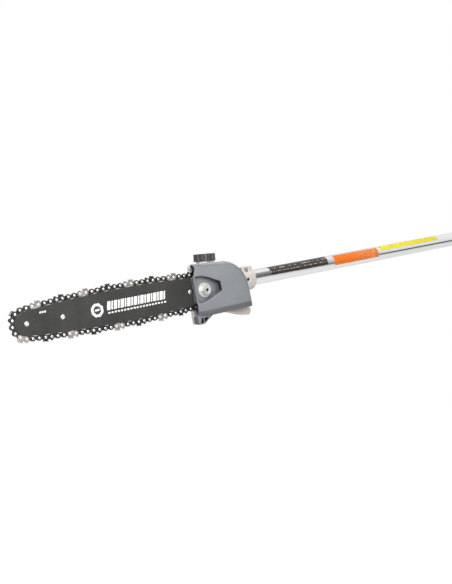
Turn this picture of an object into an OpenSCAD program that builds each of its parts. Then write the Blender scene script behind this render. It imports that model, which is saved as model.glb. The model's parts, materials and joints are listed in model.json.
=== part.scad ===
// Telescoping pole saw: chain-saw head with its drive, two sliding tubes and a
// rear end that plugs into a power head.
// Frame: +X runs back along the pole, +Z is up, the bar lies on the -Y side.
// The origin is the centre of the coupling end, where the power head takes hold.

/* [Guide bar and chain] */
// Chain pitch, half the length over three rivets
chain_pitch = 9.525; // [9.4:0.025:9.6]
// Number of drive links in the chain loop
link_count = 42; // [40:2:46]
// Teeth on the drive sprocket and on the nose sprocket
sprocket_teeth = 7; // [7]
// Half the greatest distance between the two rivet lines
rivet_line_half = 29.2; // [28:0.1:31]
// Thickness of the laminated bar
bar_t = 4.2; // [4:0.1:4.6]
// Width of the groove that the drive links run in
groove_w = 1.3; // [1.3:0.05:1.5]
// How far the bar can be let back to slacken the chain
tension_travel = 3; // [1:0.5:3]

/* [Pole] */
// Outer diameter of the sliding front tube
front_tube_d = 26; // [26]
// Outer diameter of the fixed rear tube
rear_tube_d = 30; // [30]
// Wall of both tubes
tube_wall = 1.5; // [1.2:0.1:1.6]
// Length of the rear tube
rear_tube_len = 500; // [500:10:700]
// Length of front tube that shows when the pole is pushed in
front_reach = 565; // [520:5:700]
// How far the front tube slides out
pole_travel = 380; // [200:10:380]
// Length of the foam grip
grip_len = 230; // [120:10:260]

/* [Head] */
// Distance from the bar's middle plane to the pole axis
bar_offset = 45; // [45]
// Depth of the side cover below its seat
cover_depth = 27; // [26:0.5:30]
// Wall of the moulded side cover
cover_wall = 2.5; // [2:0.1:3]
// Teeth on the bevel pinion
pinion_teeth = 14; // [14]
// Teeth on the bevel wheel
wheel_teeth = 20; // [20]
// Module of the bevel pair
gear_module = 1.75; // [1.75]
// Diameter of the oil cap
cap_d = 35; // [32:1:36]

/* [Hidden] */
$fn = 64;
fit = 0.03;
eps = 0.01;

// chain and bar
pitch_r = chain_pitch / (2 * sin(90 / sprocket_teeth));
loop_len = 2 * link_count * chain_pitch;
rivet_count = 2 * link_count;
// the loop is four tangent arcs: nose, top rail, sprocket and bottom rail
function rail_r(reach) = (pow(reach / 2, 2) + pow(rivet_line_half, 2) - pow(pitch_r, 2))
    / (2 * (rivet_line_half - pitch_r));
function rail_half_angle(reach) = asin(reach / 2 / (rail_r(reach) - pitch_r));
function loop_at(reach) = let (a = rail_half_angle(reach))
    (4 * a * rail_r(reach) + 2 * (180 - 2 * a) * pitch_r) * PI / 180;
function solve_reach(reach, steps) = steps == 0 ? reach
    : solve_reach(reach + (loop_len - loop_at(reach)) / 2, steps - 1);
bar_reach = solve_reach(loop_len / 2 - 2 * pitch_r * PI / 2, 12);
rail_arc_r = rail_r(bar_reach);
rail_a = rail_half_angle(bar_reach);
rail_drop = rail_arc_r - rivet_line_half;
s_nose = pitch_r * (90 - rail_a) * PI / 180;
s_top = s_nose + 2 * rail_a * rail_arc_r * PI / 180;
s_sprocket = s_top + pitch_r * (180 - 2 * rail_a) * PI / 180;
s_bottom = s_sprocket + 2 * rail_a * rail_arc_r * PI / 180;
chain_phase = 27.1;
strap_end_r = 3.9;
strap_t = 1.1;
link_t = 1.2;
link_gap = 0.05;
strap_y = link_t / 2 + link_gap;
rivet_r = 1.9;
rivet_head_r = 2.3;
rail_gap = 0.15;
rail_depth = strap_end_r + rail_gap;
groove_depth = 10.4;
tang_depth = 9.3;
short_tang_depth = 5.2;
short_tang_reach = 28;
bar_tail_x = -24;
nose_tip_r = 15.1;
nose_hub_r = 5;
tension_pin_r = 3.2;
tension_pin_x = -57.3;
stud_r = 4;
stud_x = -40;
slot_x0 = -50;
slot_x1 = -28;
second_rivet_x = 55.5;

// pole stations along X in the head's own frame, whose origin is the sprocket centre
tube_seat_x = 52;
socket_end_x = 98;
rear_front_x = socket_end_x + front_reach;
stub_reach = 65;
head_x = -(rear_front_x + rear_tube_len + stub_reach);
front_overlap = 65;
front_tube_end_x = rear_front_x + pole_travel + front_overlap;
rear_end_x = rear_front_x + rear_tube_len;
stub_r = 13;
stub_wall = 2;
stub_inner_x = rear_end_x - 50;
rod_half = 4;
rod_square_x = rear_front_x - 30;
rod_end_x = front_tube_end_x - 12;
shaft_r = 7.5;
shaft_front_x = rear_front_x - 10;
shaft_rear_x = rear_end_x - 6;
carrier_len = 16;

// head
spindle_r = 6;
sprocket_rim_r = 16.6;
sprocket_tip_r = 15.1;
wheel_r = gear_module * wheel_teeth / 2;
pinion_r = gear_module * pinion_teeth / 2;
gear_face = 6.5;
bearing_r = 13;
bearing_w = 8;
pinion_bearing_x = [26, 41];
spindle_front_bearing_y = 16.5;
spindle_rear_bearing_y = 58;
plate_y0 = 3;
plate_y1 = 8;
recess_y = -16;
face_y = plate_y0 - cover_depth;
washer_r = 11.5;
washer_t = 1.6;
nut_af = 13;
nut_t = 6.5;
cap_x = -6.8;
cap_y = 20;
cap_base_z = 40;
neck_top = 3.8;
cap_lean = 4.5;
pump_z = -14.6;
pump_y = 11.2;
screw_y = 6.6;
screw_z = 11;

// ---------- helpers ----------
function arc(cx, cy, r, a0, a1, n = 12) =
    [for (i = [0:n]) let (a = a0 + (a1 - a0) * i / n) [cx + r * cos(a), cy + r * sin(a)]];

// moves a shape from the head's frame to the part's frame
module in_head() { translate([head_x, -bar_offset, 0]) children(); }
// moves a shape whose axis is the pole's to the part's frame
module on_pole() { translate([head_x, 0, 0]) children(); }
// extrudes an outline drawn in X and Z from y0 to y1
module slab(y0, y1) { translate([0, y1, 0]) rotate([90, 0, 0]) linear_extrude(y1 - y0) children(); }
module y_cyl(x, z, y0, y1, r) {
    translate([x, y0, z]) rotate([-90, 0, 0]) cylinder(h = y1 - y0, r = r);
}
module x_cyl(x0, x1, r, y = 0, z = 0) {
    translate([x0, y, z]) rotate([0, 90, 0]) cylinder(h = x1 - x0, r = r);
}
module z_cyl(x, y, z0, z1, r) { translate([x, y, z0]) cylinder(h = z1 - z0, r = r); }
module x_tube(x0, x1, r, bore, y = 0, z = 0) {
    difference() {
        x_cyl(x0, x1, r, y, z);
        x_cyl(x0 - 1, x1 + 1, bore, y, z);
    }
}
module y_ring(x, z, y0, y1, r, bore) {
    difference() {
        y_cyl(x, z, y0, y1, r);
        y_cyl(x, z, y0 - 1, y1 + 1, bore);
    }
}
module x_square(x0, x1, half, y = 0) {
    translate([x0, y - half, -half]) cube([x1 - x0, 2 * half, 2 * half]);
}
module x_hex(x0, x1, af, y = 0, z = 0) {
    translate([x0, y, z]) rotate([0, 90, 0]) cylinder(h = x1 - x0, r = af / sqrt(3), $fn = 6);
}
module y_hex(x, z, y0, y1, af) {
    translate([x, y0, z]) rotate([-90, 0, 0]) cylinder(h = y1 - y0, r = af / sqrt(3), $fn = 6);
}

// ---------- chain loop ----------
// a point of the rivet line, s millimetres from the nose tip over the top rail
function loop_point(s) = let (u = (s % loop_len + loop_len) % loop_len, deg = 180 / PI)
    u < s_nose ? let (t = 180 - u / pitch_r * deg)
        [-bar_reach + pitch_r * cos(t), pitch_r * sin(t)]
    : u < s_top ? let (t = 90 + rail_a - (u - s_nose) / rail_arc_r * deg)
        [-bar_reach / 2 + rail_arc_r * cos(t), -rail_drop + rail_arc_r * sin(t)]
    : u < s_sprocket ? let (t = 90 - rail_a - (u - s_top) / pitch_r * deg)
        [pitch_r * cos(t), pitch_r * sin(t)]
    : u < s_bottom ? let (t = 270 + rail_a - (u - s_sprocket) / rail_arc_r * deg)
        [-bar_reach / 2 + rail_arc_r * cos(t), rail_drop + rail_arc_r * sin(t)]
    : let (t = 270 - rail_a - (u - s_bottom) / pitch_r * deg)
        [-bar_reach + pitch_r * cos(t), pitch_r * sin(t)];
function rivet_at(i) = loop_point(chain_phase + i * chain_pitch);
function span_at(i) = norm(rivet_at(i + 1) - rivet_at(i));

// places a link between rivets i and i + 1, with local +X along the loop and local +Z outward
module at_link(i) {
    a = rivet_at(i);
    b = rivet_at(i + 1);
    translate([a[0], 0, a[1]])
        rotate([0, -atan2(b[1] - a[1], b[0] - a[0]), 0]) children();
}
// side links alternate: near cutter, strap, far cutter, strap, with the splice at the sprocket
function is_top(j) = j < link_count / 2;
function is_near_cutter(j) = j % 4 == (is_top(j) ? 1 : 3);
function is_far_cutter(j) = j % 4 == (is_top(j) ? 3 : 1);
near_cutters = [for (j = [0:link_count - 1]) if (is_near_cutter(j)) j];
far_cutters = [for (j = [0:link_count - 1]) if (is_far_cutter(j)) j];

module strap_outline(len) {
    circle(r = strap_end_r, $fn = 24);
    translate([len, 0]) circle(r = strap_end_r, $fn = 24);
    translate([0, -3.3]) square([len, 5.2]);
}
module link_bores(len) {
    for (x = [0, len]) y_cyl(x, 0, -6, 6, rivet_r + fit);
}
module side_strap(i, y0) {
    len = span_at(i);
    at_link(i) difference() {
        slab(y0, y0 + strap_t) strap_outline(len);
        link_bores(len);
    }
}
module drive_link(i) {
    len = span_at(i);
    mid = (rivet_at(i) + rivet_at(i + 1)) / 2;
    near_wheel = min(norm(mid), norm(mid + [bar_reach, 0])) < short_tang_reach;
    depth = near_wheel ? short_tang_depth : tang_depth;
    at_link(i) difference() {
        slab(-link_t / 2, link_t / 2) union() {
            for (x = [0, len]) translate([x, 0]) circle(r = 3.5, $fn = 24);
            polygon([[0, 2.4], [0, -3], [2, -4.4], [3.2, -depth], [6, -depth],
                [8, -4.6], [len, -3], [len, 2.4]]);
        }
        link_bores(len);
    }
}
// side is -1 for a cutter on the near side and +1 for one on the far side
module cutter(i, side) {
    len = span_at(i);
    at_link(i) scale([1, -side, 1]) {
        difference() {
            slab(-strap_y - strap_t, -strap_y) union() {
                strap_outline(len);
                polygon([[-3.7, 0], [-3.3, 3.4], [-1.9, 5.4], [0.2, 5.4], [1.9, 3.4], [4.2, 3],
                    [5, 4.4], [5.1, 6.7], [12.4, 6], [13.3, 1.6], [13, 0]]);
            }
            link_bores(len);
        }
        translate([5.1, -3, 5.9]) rotate([0, 5.5, 0]) cube([7.2, 3.8, 0.9]);
    }
}

// ---------- guide bar ----------
// outline of the bar, cut in by depth from the rivet line and ended at tail_x
function rail_points(depth, tail_x, side) = let (
        r = rail_arc_r - depth,
        a_tail = acos((tail_x + bar_reach / 2) / r))
    [for (i = [0:20]) let (t = 90 + rail_a + (a_tail - 90 - rail_a) * i / 20)
        [-bar_reach / 2 + r * cos(t), side * (r * sin(t) - rail_drop)]];
function bar_outline(depth, tail_x) = let (
        top = rail_points(depth, tail_x - 4, 1),
        bottom = rail_points(depth, tail_x - 4, -1),
        edge = top[20][1] - 5)
    concat(arc(-bar_reach, 0, pitch_r - depth, 270 - rail_a, 90 + rail_a, 24), top,
        [[tail_x, edge], [tail_x, -edge]], [for (i = [20:-1:0]) bottom[i]]);
module slot_outline(x0, x1, r) {
    for (x = [x0 + r, x1 - r]) translate([x, 0]) circle(r = r);
    translate([x0 + r, -r]) square([x1 - x0 - 2 * r, 2 * r]);
}
module bar_holes() {
    slab(-5, 5) slot_outline(slot_x0, slot_x1, stud_r + 0.15);
    y_cyl(tension_pin_x, 0, -5, 5, tension_pin_r + fit);
    for (z = [-17, 17]) y_cyl(-36, z, -5, 5, 1.5);
    y_cyl(-bar_reach, 0, -5, 5, 2 + fit);
    y_cyl(second_rivet_x - bar_reach, 0, -5, 5, 2 + fit);
}
module bar_plate(y0) {
    difference() {
        slab(y0, y0 + (bar_t - groove_w) / 2) polygon(bar_outline(rail_depth, bar_tail_x));
        bar_holes();
    }
}
module bar_plate_near() { color("#2f3030") bar_plate(-bar_t / 2); }
module bar_plate_far() { color("#2f3030") bar_plate(groove_w / 2); }
module bar_core() {
    color("#4a4b4b") difference() {
        slab(-groove_w / 2, groove_w / 2) polygon(bar_outline(groove_depth, bar_tail_x));
        y_cyl(-bar_reach, 0, -5, 5, nose_tip_r + 0.6);
        bar_holes();
    }
}
module bar_rivets() {
    color("#d9d9d6") for (x = [0, second_rivet_x]) {
        y_cyl(x - bar_reach, 0, -bar_t / 2, bar_t / 2, 2);
        for (y = [-bar_t / 2 - 0.3, bar_t / 2]) y_cyl(x - bar_reach, 0, y, y + 0.3, 3.7);
    }
}
module nose_hub() {
    color("#8d8f90") y_ring(-bar_reach, 0, -groove_w / 2, groove_w / 2, nose_hub_r, 2 + fit);
}
// flat sprocket with rounded gaps, all inside the tips of the drive links
module sprocket_outline(tip, bore) {
    difference() {
        circle(r = tip);
        for (k = [0:sprocket_teeth - 1]) rotate(360 / sprocket_teeth * (k + 0.5))
            translate([tip + 0.8, 0]) circle(r = 3.4, $fn = 32);
        circle(r = bore);
    }
}
module nose_sprocket() {
    color("#8d8f90") translate([-bar_reach, 0, 0]) slab(-0.6, 0.6)
        sprocket_outline(nose_tip_r, nose_hub_r + 0.1);
}

// ---------- chain ----------
module drive_links() {
    color("#3a3937") for (j = [0:link_count - 1]) drive_link(2 * j + 1);
}
module tie_straps() {
    color("#3a3937") for (j = [0:link_count - 1]) {
        if (!is_near_cutter(j)) side_strap(2 * j, -strap_y - strap_t);
        if (!is_far_cutter(j)) side_strap(2 * j, strap_y);
    }
}
module cutters_near() { color("#cfc9c4") for (j = near_cutters) cutter(2 * j, -1); }
module cutters_far() { color("#cfc9c4") for (j = far_cutters) cutter(2 * j, 1); }
module chain_rivets() {
    reach = strap_y + strap_t;
    color("#e2e2de") for (i = [0:rivet_count - 1]) let (p = rivet_at(i)) {
        y_cyl(p[0], p[1], -reach, reach, rivet_r);
        for (y = [-reach - 0.35, reach]) y_cyl(p[0], p[1], y, y + 0.35, rivet_head_r);
    }
}

// ---------- bar tensioner ----------
module tension_block() {
    color("#9a9c9d") difference() {
        union() {
            translate([tension_pin_x - 4.5, plate_y0 + 0.3, -4.5]) cube([9, 6.4, 20.5]);
            y_cyl(tension_pin_x, 0, -bar_t / 2 - 0.4, plate_y0 + 1, tension_pin_r);
        }
        x_cyl(tension_pin_x - 6, tension_pin_x + 6, 2 + fit, screw_y, screw_z);
    }
}
module tension_screw() {
    color("#b9bbbc") difference() {
        union() {
            x_cyl(-66, -33, 2, screw_y, screw_z);
            x_cyl(-69, -65.5, 3.4, screw_y, screw_z);
        }
        translate([-69.5, screw_y - 3.5, screw_z - 0.5]) cube([1.7, 7, 1]);
    }
}

// ---------- castings and cover ----------
// outline of the seat that the cover and the gear case share
cover_front_top = [-47.2, 41.8];
cover_rear_low = [48, -40.7];
lug_step = [-30, -41.3];
lug_low_rear = [-46.8, -52];
lug_low_front = [-54.4, -52];
rear_curve_r = 46.5;
// ahead moves the front of the outline forward, for the cover's flared mouth
function seat_main(ahead = 0) = concat(
    [lug_step, [-54.6 - ahead, -41], [-51 - ahead, 26], cover_front_top - [ahead, 0], [-14, 40.4]],
    arc(-0.5, -6.5, rear_curve_r - 0.5, 96, 12, 12),
    [[46.5, -12], cover_rear_low]);
// the case's seat is cut back and rounded at its top front corner
function case_seat() = concat(
    [lug_step, [-55.2, -41], [-51.8, 20]], arc(-42.2, 34.6, 7.5, 180, 100, 8), [[-14, 40.4]],
    arc(-0.5, -6.5, rear_curve_r - 0.5, 96, 12, 12),
    [[46.5, -12], cover_rear_low]);
function lug_points(ahead = 0) = [lug_low_front - [ahead, 0], [-54.6 - ahead, -40.5],
    [-52 - ahead, -30], [-30, -30], lug_step, [-37, -45], lug_low_rear];
// raked slots in the lug that let chips out
module chip_slots() {
    polygon([[-53.2, -50.9], [-49.6, -50.9], [-48, -43], [-51.4, -43]]);
    polygon([[-47.4, -50.4], [-45.6, -43], [-37.6, -43.3]]);
}
recess_points = [[-55.2, 22.3], [-45.6, 22], [-37.1, 19.9], [-28.7, 16.5], [-20.4, 12.5],
    [-12.8, 9.2], [-11.6, -4], [-12.4, -5.6], [-29.3, -12.9], [-41.1, -17.3],
    [-50.3, -18.9], [-54.4, -17.9]];
pad_z0 = -19.3;
pad_z1 = 21.2;
pad_front_x = -53.3;

// the part of the seat's outline behind the sloping front, drawn in by inset
module shoulder(y, inset) {
    slab(y, y + 0.2) intersection() {
        offset(delta = -inset) polygon(seat_main());
        translate([-20, -60]) square([80, 120]);
    }
}
module cover_body() {
    hull() {
        slab(2, plate_y0) polygon(seat_main());
        slab(-13, -12.8) polygon(seat_main(3.2));
        slab(-17, -16.8) polygon([[-57.5, -35], [-57.5, 23], [-52.6, 41], [-50, 41], [-50, -35]]);
        slab(-19, -18.8) polygon([[-57, -31.5], [-57, 22], [-52.8, 38], [-50, 38], [-50, -31.5]]);
        shoulder(-17, 1.1);
        shoulder(-20.5, 3.1);
        slab(face_y, face_y + 0.2) polygon(concat([[-16, -31], [-16, 33.5]],
            arc(-2.5, -6.5, rear_curve_r - 6.5, 96, 12, 8), [[40, -12], [42, -31]]));
    }
    hull() {
        slab(2, plate_y0) polygon(lug_points());
        slab(-15, -14.8) polygon(lug_points(3.6));
    }
}
module cover_cavity() {
    hull() {
        slab(-11.5, plate_y0 + 1) offset(delta = -cover_wall) polygon(seat_main(18));
        slab(face_y + cover_wall, face_y + cover_wall + 0.2)
            polygon([[-16, -29], [-16, 31], [14, 28], [36, 6], [38, -28]]);
        translate([-72, -15, -31]) cube([1, 1, 69]);
    }
}
module side_cover() {
    color("#8b8f95") difference() {
        union() {
            difference() {
                cover_body();
                cover_cavity();
            }
            intersection() {
                slab(face_y, recess_y + cover_wall) offset(delta = cover_wall) polygon(recess_points);
                cover_body();
            }
            // hollow pad that presses the bar against the case
            difference() {
                translate([pad_front_x, recess_y, pad_z0])
                    cube([bar_tail_x - pad_front_x - 2, -recess_y - bar_t / 2 - 0.1, pad_z1 - pad_z0]);
                translate([pad_front_x + 2 * cover_wall, recess_y + cover_wall, pad_z0 + cover_wall])
                    cube([bar_tail_x - pad_front_x - 2 - 3 * cover_wall,
                        -recess_y - bar_t / 2 - 0.1 - 2 * cover_wall, pad_z1 - pad_z0 - 2 * cover_wall]);
            }
        }
        slab(face_y - 2, recess_y) polygon(recess_points);
        y_cyl(stud_x, 0, -40, 10, stud_r + 0.2);
        y_cyl(tension_pin_x, 0, -4.4, 10, tension_pin_r + 1);
        translate([tension_pin_x, -4.4, -tension_pin_r - 1])
            cube([tension_travel, 14.4, 2 * tension_pin_r + 2]);
        y_cyl(tension_pin_x + tension_travel, 0, -4.4, 10, tension_pin_r + 1);
        slab(-16, 4) chip_slots();
    }
}
module guide_plate() {
    color("#3b3a39") difference() {
        slab(bar_t / 2 + 0.05, plate_y0 - 0.05)
            polygon([[-60, -22.5], [-27, -22.5], [-27, 22.5], [-60, 22.5]]);
        y_cyl(stud_x, 0, 0, 6, stud_r + 0.2);
        slab(0, 6) slot_outline(tension_pin_x - 4.5, tension_pin_x + tension_travel + 4.5, 4.2);
    }
}
tank_screw_at = [[-38, 32], [-38, -32]];
ear_x0 = 73;
ear_z = 16;
pinch_x = 82;
locating_x = 79;
module gear_case() {
    color("#cfcbc6") difference() {
        union() {
            slab(plate_y0, plate_y1) polygon(case_seat());
            slab(plate_y0, plate_y1) polygon(lug_points());
            slab(plate_y0, plate_y1) polygon([[-66, -22], [-46, -24.5], [-46, 24.5], [-66, 22]]);
            translate([-65.5, plate_y0, -7]) cube([36.5, 9.5, 27]);
            y_cyl(0, 0, plate_y0, 57.5, 24.5);
            y_cyl(0, 0, 57, 68, 17);
            x_cyl(10, 60, 19.5, bar_offset);
            x_cyl(60, socket_end_x - 3, 19, bar_offset);
            translate([socket_end_x - 3, bar_offset, 0]) rotate([0, 90, 0])
                cylinder(h = 3, r1 = 19, r2 = 16.8);
            translate([ear_x0, bar_offset - 13, 10]) cube([socket_end_x - ear_x0 - 4, 26, 11.2]);
            translate([-29.5, plate_y0, -22.5]) cube([19.5, 15.5, 15.5]);
            // rear foot
            slab(plate_y0, 24) polygon([[10, -36], [46, -40], [57.5, -43.5], [58, -47],
                [57, -51], [53.5, -54.6], [50, -54.8], [37, -51.3], [23, -46.2], [12, -43]]);
            for (p = tank_screw_at) y_cyl(p[0], p[1], plate_y0, 14, 4.6);
        }
        // channel that the chain runs in, and the sprocket's pocket
        slab(plate_y0 - 1, plate_y0 + 1.2) difference() {
            union() {
                circle(r = pitch_r + 9);
                polygon([[-70, -35.5], [-5, -30.6], [-5, 30.6], [-70, 35.5]]);
            }
            translate([-75, -22.8]) square([52, 45.6]);
        }
        y_cyl(0, 0, plate_y0 - 1, 6.1, sprocket_rim_r + 1.2);
        // gear chamber, bearing seats and tube socket
        y_cyl(0, 0, 25, 50, 21);
        y_cyl(0, 0, 49, 58.5, 15);
        y_cyl(0, 0, plate_y0 - 1, 70, 8);
        y_cyl(0, 0, plate_y0 - 1, 16.5, 10.4);
        y_cyl(0, 0, 16.5, 26, bearing_r + fit);
        y_cyl(0, 0, spindle_rear_bearing_y, 70, bearing_r + fit);
        x_cyl(8, 25.5, 16.6, bar_offset);
        x_cyl(25, socket_end_x + 1, bearing_r + fit, bar_offset);
        // slot that lets the socket close on the tube
        translate([66, bar_offset - 1, 5]) cube([40, 2, 30]);
        y_cyl(pinch_x, ear_z, 20, 70, 2.1);
        y_cyl(pinch_x, ear_z, 20, bar_offset - 8, 3.7);
        y_cyl(locating_x, 0, 20, bar_offset, 2.55);
        y_cyl(stud_x, 0, plate_y0 - 1, 13, stud_r + fit);
        // pocket and hole of the tensioner
        translate([tension_pin_x - 5, plate_y0 - 1, -5.2])
            cube([10.5 + tension_travel, 8.2, 22]);
        x_cyl(-70, -31, 2 + fit, screw_y, screw_z);
        x_cyl(-70, -65.3, 3.8, screw_y, screw_z);
        // oil pump pocket
        x_cyl(-31, 5, 6.05, pump_y, pump_z);
        for (p = tank_screw_at) y_cyl(p[0], p[1], 5, 20, 2.1);
        slab(0, 10) chip_slots();
    }
}
module case_cap() {
    color("#cfcbc6") {
        y_cyl(0, 0, 68, 71, 17);
        y_cyl(0, 0, 66.2, 68, bearing_r - 0.1);
    }
}
module tank_screws() {
    color("#b9bbbc") for (p = tank_screw_at) difference() {
        union() {
            y_cyl(p[0], p[1], 5.5, 17, 2.05);
            y_cyl(p[0], p[1], 16.9, 19.9, 3.6);
        }
        y_hex(p[0], p[1], 18.2, 21, 3);
    }
}
module bar_stud() { color("#d0d1d2") y_cyl(stud_x, 0, face_y - 0.7, 12.5, stud_r); }
module pinch_screw() {
    color("#b9bbbc") difference() {
        union() {
            y_cyl(pinch_x, ear_z, bar_offset - 9, bar_offset + 12, 2);
            y_cyl(pinch_x, ear_z, bar_offset - 12, bar_offset - 8.02, 3.5);
        }
        y_hex(pinch_x, ear_z, bar_offset - 13, bar_offset - 10, 3);
    }
}
module locating_screw() {
    color("#4b4b4b") difference() {
        y_cyl(locating_x, 0, bar_offset - 18.6, bar_offset - stub_r - 0.1, 2.5);
        y_hex(locating_x, 0, bar_offset - 19, bar_offset - 16.5, 2.5);
    }
}
module cover_washer() {
    color("#e4e4e2") y_ring(stud_x, 0, recess_y - washer_t, recess_y, washer_r, stud_r + 0.2);
}
module bar_nut() {
    color("#e4e4e2") difference() {
        y_hex(stud_x, 0, recess_y - washer_t - nut_t, recess_y - washer_t, nut_af);
        y_cyl(stud_x, 0, face_y - 5, 0, stud_r + fit);
        translate([stud_x, recess_y - washer_t - nut_t - eps, 0]) rotate([-90, 0, 0])
            cylinder(h = 1.3, r1 = stud_r + 1.2, r2 = stud_r);
    }
}

// ---------- oil tank, cap and pump ----------
tank_y0 = plate_y1 + 0.2;
tank_y1 = 40;
tank_x0 = -47.5;
module tank_outline(inset) {
    rear_x = 16;
    offset(delta = -inset) polygon(concat(
        [[tank_x0, -38.5], [-31, -38.5], [-31, 22], [-26, 27.5], [rear_x, 27.5], [rear_x, 34.2]],
        arc(rear_x - 6, 34.2, 6, 0, 80, 4), arc(tank_x0 + 9, 31.5, 9, 95, 180, 8)));
}
// a shape that the tank's slanting front leaves in place
module behind_front(inset) {
    intersection() {
        children();
        translate([0, 0, -60]) linear_extrude(120) polygon([[tank_x0 + inset, tank_y0],
            [tank_x0 + inset + 22, tank_y1 + 1], [30, tank_y1 + 1], [30, tank_y0]]);
    }
}
module screw_and_boss_room(gap) {
    for (p = tank_screw_at) {
        y_cyl(p[0], p[1], 0, 14.1 + gap, 5.2 + gap);
        y_cyl(p[0], p[1], 0, 60, 2.2 + gap);
        y_cyl(p[0], p[1], 16.9 - gap, 60, 4.2 + gap);
    }
    translate([-70, 0, -8 - gap]) cube([42.5 + gap, 13 + gap, 29 + 2 * gap]);
}
module oil_tank() {
    wall = 2;
    color("#e9e7e1") difference() {
        behind_front(0) union() {
            slab(tank_y0, tank_y1) tank_outline(0);
            at_cap() z_cyl(0, 0, -5, neck_top, 13.4);
        }
        difference() {
            behind_front(wall * 1.2) slab(tank_y0 + wall, tank_y1 - wall) tank_outline(wall);
            screw_and_boss_room(1.6);
        }
        at_cap() z_cyl(0, 0, -8, neck_top + 1, 10);
        screw_and_boss_room(0);
    }
}
// the filler neck leans back a little, square to the tank's sloping top
module at_cap() { translate([cap_x, cap_y, cap_base_z]) rotate([0, cap_lean, 0]) children(); }
module cap_seal() {
    color("#1b1b1b") at_cap() difference() {
        z_cyl(0, 0, neck_top + 0.05, neck_top + 1.2, 13);
        z_cyl(0, 0, neck_top - 1, neck_top + 3, 10.1);
    }
}
module oil_cap() {
    under = neck_top + 1.25;
    flutes = 14;
    color("#2b2b2a") at_cap() difference() {
        union() {
            z_cyl(0, 0, neck_top - 1.6, neck_top + 10.4, cap_d / 2);
            z_cyl(0, 0, 1, under + 1, 9.6);
        }
        difference() {
            z_cyl(0, 0, -10, under, 14);
            z_cyl(0, 0, 0, under + 1, 9.6);
        }
        for (k = [0:flutes - 1]) rotate([0, 0, 360 / flutes * k])
            translate([cap_d / 2 + 0.4, 0, 0]) cylinder(h = 20, r = 1.8, $fn = 24);
    }
}
module oil_pump() {
    color("#a9abac") difference() {
        x_cyl(-28.5, -12, 6, pump_y, pump_z);
        x_cyl(-26, -11, 3.05, pump_y, pump_z);
    }
}
module pump_wheel() {
    color("#8f8368") {
        x_cyl(-25.5, 3, 3, pump_y, pump_z);
        translate([-6, pump_y, pump_z]) rotate([0, 90, 0]) linear_extrude(7) {
            circle(r = 4.2);
            for (k = [0:11]) rotate(30 * k) translate([3.6, -0.45]) square([1.4, 0.9]);
        }
    }
}
module pump_worm() {
    color("#8f8368") y_ring(0, 0, 9.5, 15.5, 9.4, spindle_r + fit);
}

// ---------- drive train ----------
module bearing(r, bore, w) {
    // inner race, outer race and the cage of balls between them
    difference() {
        cylinder(h = w, r = r);
        translate([0, 0, -1]) cylinder(h = w + 2, r = r - 2.2);
    }
    difference() {
        cylinder(h = w, r = bore + 2);
        translate([0, 0, -1]) cylinder(h = w + 2, r = bore + fit);
    }
    difference() {
        translate([0, 0, 1]) cylinder(h = w - 2, r = r - 2.25);
        translate([0, 0, -1]) cylinder(h = w + 2, r = bore + 2.05);
    }
}
module at_y(y) { translate([0, y, 0]) rotate([-90, 0, 0]) children(); }
module at_x(x, y) { translate([x, y, 0]) rotate([0, 90, 0]) children(); }
module spindle_bearings() {
    color("#c4c6c8") {
        at_y(spindle_front_bearing_y) bearing(bearing_r, spindle_r, bearing_w);
        at_y(spindle_rear_bearing_y) bearing(bearing_r, spindle_r, bearing_w);
    }
}
module pinion_bearings() {
    color("#c4c6c8") for (x = pinion_bearing_x) at_x(x, bar_offset) bearing(bearing_r, 5, bearing_w);
}
module bearing_ring() {
    color("#6c6e70") x_tube(34.2, 40.8, bearing_r - 0.05, 11, bar_offset);
}
module spindle() {
    color("#b4b6b8") difference() {
        y_cyl(0, 0, -11, 66, spindle_r);
        y_ring(0, 0, -9.2, -8, spindle_r + 1, spindle_r - 0.8);
    }
}
module sprocket_clip() {
    color("#6c6e70") difference() {
        y_ring(0, 0, -9.1, -8.1, 8.6, spindle_r - 0.75);
        translate([-1.5, -12, 0]) cube([3, 6, 12]);
    }
}
// rim sprocket: two discs that the straps ride on, with the driving teeth between them
module drive_sprocket() {
    color("#77797b") difference() {
        union() {
            for (y = [[-5.5, -0.85], [0.85, 5.5]]) y_cyl(0, 0, y[0], y[1], sprocket_rim_r);
            slab(-0.9, 0.9) sprocket_outline(sprocket_tip_r, 4);
            y_cyl(0, 0, -7.9, 9.3, 9);
        }
        y_cyl(0, 0, -20, 20, spindle_r + fit);
        for (k = [0:sprocket_teeth - 1]) rotate([0, 360 / sprocket_teeth * (k + 0.5), 0])
            y_cyl(12.6, 0, -20, 20, 2.3);
    }
}
// straight bevel teeth: an outline drawn at the big end that tapers to the cone's apex
module bevel_outline(teeth, r, add, ded, slim) {
    step = 360 / teeth;
    circle(r = r - ded, $fn = teeth * 2);
    for (k = [0:teeth - 1]) rotate(k * step) polygon([
        [r - ded - 0.6, -sin(step * 0.30) * r], [r, -sin(step * slim) * r],
        [r + add, -sin(step * slim * 0.55) * r], [r + add, sin(step * slim * 0.55) * r],
        [r, sin(step * slim) * r], [r - ded - 0.6, sin(step * 0.30) * r]]);
}
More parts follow.
